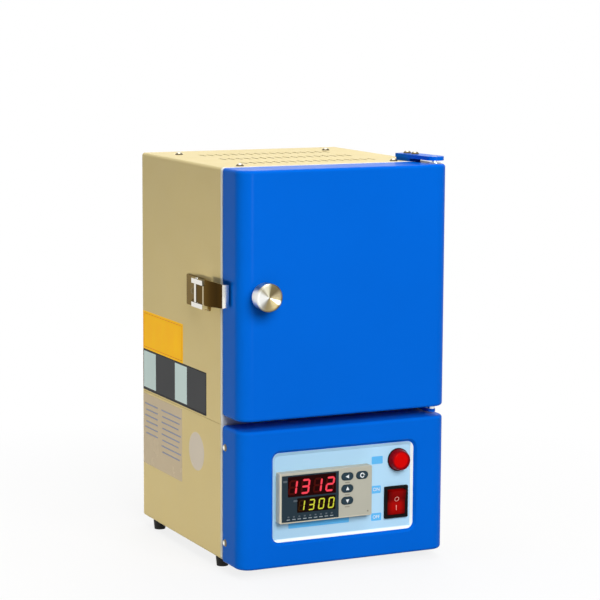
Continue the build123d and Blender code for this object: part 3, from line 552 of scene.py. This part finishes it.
def prints(name, shapes, face, mat, body, lift=0.0):
    """Thin flat shapes on a face, as one piece.

    Each shape is (centre, points) with the centre on the surface and the points in
    millimetres along the face's two directions, or (centre, outer, inner) for a ring.
    """
    across, upward = face
    out = across.cross(upward)
    verts, faces = [], []
    for centre, *loops in shapes:
        count, first = len(loops[0]), len(verts)
        for depth in (lift, lift + PRINT_T):
            for loop in loops:
                verts += [centre + (across * u + upward * v + out * depth) * MM for u, v in loop]
        low, high = first, first + count * len(loops)
        following = [(i, (i + 1) % count) for i in range(count)]
        faces += [(low + i, low + j, high + j, high + i) for i, j in following]
        if len(loops) == 1:
            faces += [tuple(range(high, high + count)), tuple(reversed(range(low, low + count)))]
        else:
            faces += [(low + count + j, low + count + i, high + count + i, high + count + j)
                      for i, j in following]
            faces += [(high + i, high + j, high + count + j, high + count + i)
                      for i, j in following]
            faces += [(low + j, low + i, low + count + i, low + count + j) for i, j in following]
    mesh = bpy.data.meshes.new(name)
    mesh.from_pydata(verts, [], faces)
    mesh.update()
    mesh.materials.append(mat)
    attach(add_object(name, mesh), body)


def words(name, text, centre, size, mat, body):
    """Generic lettering on a face that looks towards -Y."""
    curve = bpy.data.curves.new(name, "FONT")
    curve.body, curve.size, curve.extrude = text, size * MM, PRINT_T * MM / 2
    curve.align_x, curve.align_y = "CENTER", "CENTER"
    flat = add_object(name + "_curve", curve)
    bpy.context.view_layer.update()
    solid = flat.evaluated_get(bpy.context.evaluated_depsgraph_get())
    mesh = bpy.data.meshes.new_from_object(solid)
    bpy.data.objects.remove(flat)
    obj = add_object(name, mesh)
    mesh.materials.clear()
    mesh.materials.append(mat)
    obj.matrix_world = Matrix.Translation(centre) @ Matrix.Rotation(math.radians(90), 4, "X")
    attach(obj, body)


# -------------------------------------------------- labels on the left side
# Each label is given by its front and rear edges, bottom and top.

LABELS_REAR, LABEL_R = UPPER.y1 - 0.6, 0.6     # rear edge of most labels, corner radius
YELLOW_LABEL = (94.5, LABELS_REAR, 173.0, 211.5)
BORDER_H, BORDER_Z = 34.5, 192.3
BORDER_IN, BORDER_W = 2.0, 0.6     # the border's distance from the label's ends, and its width
BORDER_R, BORDER_INNER_R = 1.6, 1.2
DARK_EDGE = (37.0, LABELS_REAR, 131.4, 173.0)
DARK_LABEL = (38.2, LABELS_REAR - 0.6, 133.4, 171.8)
PALE_FIELDS = ((164.5, LABELS_REAR - 2.0, 134.2, 171.0), (84.4, 114.4, 134.2, 171.0))
FOIL_LABEL = (97.0, LABELS_REAR, 55.5, 127.5)
DASH_TOP, DASH_PITCH, DASH_T = 117.5, 6.0, 1.3
ROUND_Y, ROUND_Z, ROUND_R = 61.0, 93.0, 18.5


def side_label(name, edges, mat, lift=0.0):
    y0, y1, z0, z1 = edges
    shape = (at(UPPER.x0, (y0 + y1) / 2, (z0 + z1) / 2), rounded(y1 - y0, z1 - z0, LABEL_R))
    prints(name, [shape], LEFT_FACE, mat, "casing", lift)


def dash(y0, y1, row):
    """A plain dash between two edges, on a row counted from the top."""
    return (at(UPPER.x0, (y0 + y1) / 2, DASH_TOP - DASH_PITCH * row),
            rounded(y1 - y0, DASH_T, DASH_T * 0.3, 2))


def side_labels(mats):
    side_label("label_yellow", YELLOW_LABEL, mats["yellow"])
    front, rear = YELLOW_LABEL[:2]
    width = rear - front - 2 * BORDER_IN
    border = (at(UPPER.x0, (front + rear) / 2, BORDER_Z), rounded(width, BORDER_H, BORDER_R),
              rounded(width - 2 * BORDER_W, BORDER_H - 2 * BORDER_W, BORDER_INNER_R))
    prints("label_yellow_border", [border], LEFT_FACE, mats["amber"], "casing", PRINT_T)

    side_label("label_dark_edge", DARK_EDGE, mats["ink_black"])
    side_label("label_dark", DARK_LABEL, mats["slate"], PRINT_T)
    for i, edges in enumerate(PALE_FIELDS):
        side_label(f"label_field_{i + 1}", edges, mats["mist"], 2 * PRINT_T)

    side_label("label_foil", FOIL_LABEL, mats["foil"])
    dashes = [dash(100.0 + 3.0 * (i % 3), 150.0 - 2.0 * (i % 2), i) for i in range(8)]
    dashes += [dash(160.0, 194.0 - 3.0 * (i % 2), i) for i in range(6)]
    prints("label_foil_lines", dashes, LEFT_FACE, mats["ink_blue"], "casing", PRINT_T)
    disc = (at(LOWER.x0, ROUND_Y, ROUND_Z), circle(ROUND_R, 48))
    prints("label_round", [disc], LEFT_FACE, mats["foil_pale"], "casing")


# ------------------------------------------------------------ front panel

SEGMENTS = {
    "0": "abcdef", "1": "bc", "2": "abged", "3": "abgcd", "4": "fgbc",
    "5": "afgcd", "6": "afgedc", "7": "abc", "8": "abcdefg", "9": "abcdfg",
}


def bar(start, end, half):
    """A segment of a digit: a bar with pointed ends, as 2-D points."""
    (x0, z0), (x1, z1) = start, end
    length = math.hypot(x1 - x0, z1 - z0)
    ux, uz = (x1 - x0) / length, (z1 - z0) / length
    nx, nz = -uz, ux
    return [(x0, z0), (x0 + (ux - nx) * half, z0 + (uz - nz) * half),
            (x1 - (ux + nx) * half, z1 - (uz + nz) * half), (x1, z1),
            (x1 - (ux - nx) * half, z1 - (uz - nz) * half),
            (x0 + (ux + nx) * half, z0 + (uz + nz) * half)][::-1]


class Row:
    """A row of seven-segment places.

    It has a lower left corner, the digits' size and pitch, half a segment's
    thickness, and the slant as a share of the height.
    """

    def __init__(self, x, z, width, height, pitch, half, slant):
        self.x, self.z, self.width, self.height = x, z, width, height
        self.pitch, self.half, self.slant = pitch, half, slant

    def show(self, name, text, mat, lift):
        """One piece with every segment that the characters of `text` light."""
        w, h, mid = self.width, self.height, self.height / 2
        ends = {"a": ((0, h), (w, h)), "b": ((w, mid), (w, h)), "c": ((w, 0), (w, mid)),
                "d": ((0, 0), (w, 0)), "e": ((0, 0), (0, mid)), "f": ((0, mid), (0, h)),
                "g": ((0, mid), (w, mid))}
        shapes = []
        for index, char in enumerate(text):
            corner = at(self.x + index * self.pitch, GLASS.y0, self.z)
            for letter in SEGMENTS[char]:
                points = bar(*ends[letter], self.half)
                shapes.append((corner, [(u + v * self.slant, v) for u, v in points]))
        prints(name, shapes, FRONT_FACE, mat, "casing", lift)


def front_patch(name, x0, x1, z0, z1, y, mat, radius=0.5):
    shape = (at((x0 + x1) / 2, y, (z0 + z1) / 2), rounded(x1 - x0, z1 - z0, radius))
    prints(name, [shape], FRONT_FACE, mat, "casing")


LAMPS, LAMP_START, LAMP_PITCH = 9, 7.0, 5.6    # the row of small lamps under the digits
LAMP_UP, LAMP_DASH_UP = 4.8, 2.3
UPPER_NUMBER, LOWER_NUMBER = "1312", "1300"    # the lower one stands in for letters


def display(mats):
    """The controller's window: two fields of digits, small lamps and marks."""
    left, right, low, high, face = GLASS.x0, GLASS.x1, GLASS.z0, GLASS.z1, GLASS.y0
    front_patch("display_field_red", left + 6.3, right - 2.9, low + 23.7, high - 1.4,
                face, mats["red_field"])
    front_patch("display_field_green", left + 15.9, right - 3.4, low + 8.2, low + 22.0,
                face, mats["green_field"])
    red = Row(x=left + 7.2, z=low + 26.6, width=7.0, height=12.2, pitch=12.8,
              half=0.95, slant=0.13)
    green = Row(x=left + 17.4, z=low + 10.2, width=5.0, height=9.2, pitch=10.2,
                half=0.6, slant=0.14)
    for name, row, number in (("red", red, UPPER_NUMBER), ("green", green, LOWER_NUMBER)):
        row.show(f"unlit_{name}", "8888", mats[name + "_ghost"], PRINT_T)
        row.show(f"digits_{name}", number, mats[name + "_led"], 2 * PRINT_T)
    places = [left + LAMP_START + LAMP_PITCH * i for i in range(LAMPS)]
    dashes = [(at(x, face, low + LAMP_DASH_UP), rounded(3.6, 0.8, 0.3, 2)) for x in places]
    prints("window_dashes", dashes, FRONT_FACE, mats["ink_pale"], "casing")
    lamps = [(at(x, face, low + LAMP_UP), rounded(1.9, 1.5, 0.4, 2)) for x in places]
    prints("window_lamps", lamps, FRONT_FACE, mats["ink_dim"], "casing")
    marks = [(at(left + 3.6, face, high - 5.6), rounded(4.2, 1.9, 0.5, 2)),
             (at(left + 14.2, face, low + 19.6), rounded(4.2, 1.8, 0.5, 2))]
    prints("window_marks", marks, FRONT_FACE, mats["ink_dim"], "casing")


def arrow(degrees, size):
    """A triangle that points along an angle from +X."""
    points = []
    for turn, reach in ((0, 1.0), (128, 0.95), (232, 0.95)):
        angle = math.radians(degrees + turn)
        points.append((size * reach * math.cos(angle), size * reach * math.sin(angle)))
    return points


ARROW, CYCLE_OUTER, CYCLE_INNER, CYCLE_TIP = 2.3, 2.4, 1.5, 1.3    # sizes of the key marks
CAPTION_DROP, DOT_IN, DOT_R = 2.1, 4.4, 0.8


def key_marks(mats):
    """Arrows and a ring on the keys; plain dashes and a dot on the bezel."""
    for key, degrees in (("shift", 180), ("up", 90), ("down", -90)):
        place = Extent("key_" + key)
        shape = (at(place.x, place.y0, place.z), arrow(degrees, ARROW))
        prints("mark_" + key, [shape], FRONT_FACE, mats["ink_white"], key + "_key")
    place = Extent("key_cycle")
    centre = at(place.x, place.y0, place.z)
    ring = (centre, circle(CYCLE_OUTER, 24), circle(CYCLE_INNER, 24))
    tip = (at(place.x + 1.9, place.y0, place.z - 0.2), arrow(-90, CYCLE_TIP))
    prints("mark_cycle", [ring, tip], FRONT_FACE, mats["ink_white"], "cycle_key")
    captions = []
    for key in ("shift", "up", "down"):
        place = Extent("key_" + key)
        centre = at(place.x, BEZEL.y0, place.z0 - CAPTION_DROP)
        captions.append((centre, rounded(5.0, 0.8, 0.3, 2)))
    prints("key_captions", captions, FRONT_FACE, mats["ink_grey"], "casing")
    dot = (at(BEZEL.x1 - DOT_IN, BEZEL.y0, BEZEL.z0 + DOT_IN), circle(DOT_R, 16))
    prints("bezel_dot", [dot], FRONT_FACE, mats["ink_grey"], "casing")


def rocker_face(upper):
    """Middle and outward direction of the rocker's upper or lower face."""
    mesh = NODES["switch_rocker"].data
    middle = at(SWITCH.x, SWITCH.y, SWITCH.z).z
    found = [p for p in mesh.polygons if p.normal.y < -0.9 and (p.center.z > middle) == upper]
    area = sum(p.area for p in found)
    centre = sum((p.center * p.area for p in found), Vector()) / area
    return centre, found[0].normal.copy()


def switch_marks(mats):
    """The O and I on the rocker's two faces, shifted up from each face's middle."""
    for name, upper, shift, loops in (("off", True, -2.4, (circle(2.4, 24), circle(1.85, 24))),
                                      ("on", False, 0.6, (rounded(0.7, 5.0, 0.3, 3),))):
        centre, normal = rocker_face(upper)
        face = (RIGHT, normal.cross(RIGHT))
        shape = (centre + face[1] * shift * MM, *loops)
        prints("switch_mark_" + name, [shape], face, mats["ink_rose"], "rocker")


TAG_X, TAG_HALF, TAG_R = LENS.x0 - 17.6, 3.7, 1.0    # left edge, half the height, corners
ON_Z, OFF_Z = LENS.z - 27.3, LENS.z - 53.8
TAGS = (("tag_lamp", LENS.z + 1.1, 11.8), ("tag_on", ON_Z, 10.0), ("tag_off", OFF_Z, 10.8))
# name, letters, place along the tag, height of the middle, size
WORDS = (("word_on", "ON", 5.2, ON_Z, 4.6), ("word_off", "OFF", 5.4, OFF_Z - 0.2, 4.4))


def panel_prints(mats):
    for name, z, width in TAGS:
        front_patch(name, TAG_X, TAG_X + width, z - TAG_HALF, z + TAG_HALF,
                    PLATE_FACE, mats["tag"], TAG_R)
    for name, letters, x, z, size in WORDS:
        place = at(TAG_X + x, PLATE_FACE - PRINT_T, z)
        words(name, letters, place, size, mats["ink_white"], "casing")
    front_patch("panel_band", BEZEL.x0 + 12.9, BEZEL.x1 - 19.7, BEZEL.z0 - 7.0, BEZEL.z0 - 2.2,
                PLATE_FACE, mats["tag"], TAG_R)


# ------------------------------------------------------------------ stage

WORLD_LEVEL = 0.07                 # sky light on the object; it is seen at 1, as white
FLOOR_SIZE = 6.0
FLOOR_SEEN, FLOOR_BOUNCE = (0.80, 0.80, 0.80), (0.32, 0.32, 0.32)
# Distance from the floor's middle in metres, share of plain white: near, then far.
FLOOR_FADE = ((0.24, 0.84), (0.65, 1.0))
LIGHT_AIM = (0.0, 0.0, 0.19)
# name, place, size, power, colour, lights surfaces, shows in reflections (metres, watts)
LIGHTS = (
    ("key", (-0.1, -2.7, 1.7), (2.0, 1.6), 91, (1, 1, 1), True, False),
    ("strip", (0.15, -2.5, 0.45), (0.24, 1.5), 28, (0.80, 0.93, 1.0), False, True),
    ("top", (0.1, 0.2, 2.4), (1.6, 1.6), 32, (1, 1, 1), True, True),
    ("back", (1.2, 2.2, 1.2), (1.5, 1.5), 24, (1, 1, 1), True, False),
    ("low_left", (-0.85, 0.0, 0.03), (0.5, 0.06), 2.25, (1.0, 0.92, 0.72), True, False),
)


def seen_directly(tree):
    """1 on camera, glossy and transmission rays, else 0."""
    path = tree.nodes.new("ShaderNodeLightPath")
    result = path.outputs["Is Camera Ray"]
    for name in ("Is Glossy Ray", "Is Transmission Ray"):
        either = tree.nodes.new("ShaderNodeMath")
        either.operation = "MAXIMUM"
        tree.links.new(result, either.inputs[0])
        tree.links.new(path.outputs[name], either.inputs[1])
        result = either.outputs[0]
    return result


def make_world():
    """A sky that is seen as plain white and lights the object only a little."""
    world = bpy.data.worlds.new("studio")
    bpy.context.scene.world = world
    world.use_nodes = True
    tree = world.node_tree
    strength = tree.nodes.new("ShaderNodeMapRange")
    strength.inputs["To Min"].default_value = WORLD_LEVEL
    strength.inputs["To Max"].default_value = 1.0
    tree.links.new(seen_directly(tree), strength.inputs["Value"])
    back = tree.nodes["Background"]
    back.inputs["Color"].default_value = (1, 1, 1, 1)
    tree.links.new(strength.outputs["Result"], back.inputs["Strength"])


def make_floor():
    """Pale floor with the object's soft shadow, running out to plain white where it is seen."""
    corners = [(FLOOR_SIZE * x, FLOOR_SIZE * y, 0) for x, y in ((-1, -1), (1, -1), (1, 1), (-1, 1))]
    mesh = bpy.data.meshes.new("floor")
    mesh.from_pydata(corners, [], [(0, 1, 2, 3)])
    floor = add_object("floor", mesh)
    s = Shader("floor_white").set(Roughness=0.9, Specular_IOR_Level=0.0)
    tree = s.mat.node_tree
    place = s.split("Object")
    (near, near_white), (far, far_white) = FLOOR_FADE
    fade = s.span(s.length(place[X], place[Y]), near, far, near_white, far_white)
    white = s.calc("MULTIPLY", fade, seen_directly(tree))
    s.feed("Base Color", s.mix(seen_directly(tree), FLOOR_BOUNCE, FLOOR_SEEN))
    glow = s.nodes.new("ShaderNodeEmission")
    blend = s.nodes.new("ShaderNodeMixShader")
    s.links.new(white, blend.inputs[0])
    s.links.new(s.bsdf.outputs[0], blend.inputs[1])
    s.links.new(glow.outputs[0], blend.inputs[2])
    s.links.new(blend.outputs[0], s.nodes["Material Output"].inputs["Surface"])
    mesh.materials.append(s.mat)


def make_lights():
    for name, place, size, power, colour, diffuse, glossy in LIGHTS:
        data = bpy.data.lights.new(name, "AREA")
        data.shape, data.size, data.size_y = "RECTANGLE", size[0], size[1]
        data.energy, data.color = power, colour
        lamp = add_object(name, data)
        lamp.location, lamp.visible_camera = place, False
        lamp.visible_diffuse, lamp.visible_glossy = diffuse, glossy
        lamp.rotation_mode = "QUATERNION"
        lamp.rotation_quaternion = (Vector(LIGHT_AIM) - Vector(place)).to_track_quat("-Z", "Y")


def main():
    make_camera()
    mats = make_materials()
    dress_nodes(mats)
    side_labels(mats)
    display(mats)
    key_marks(mats)
    switch_marks(mats)
    panel_prints(mats)
    bpy.context.scene.view_settings.view_transform = "Standard"
    make_world()
    make_floor()
    make_lights()


main()
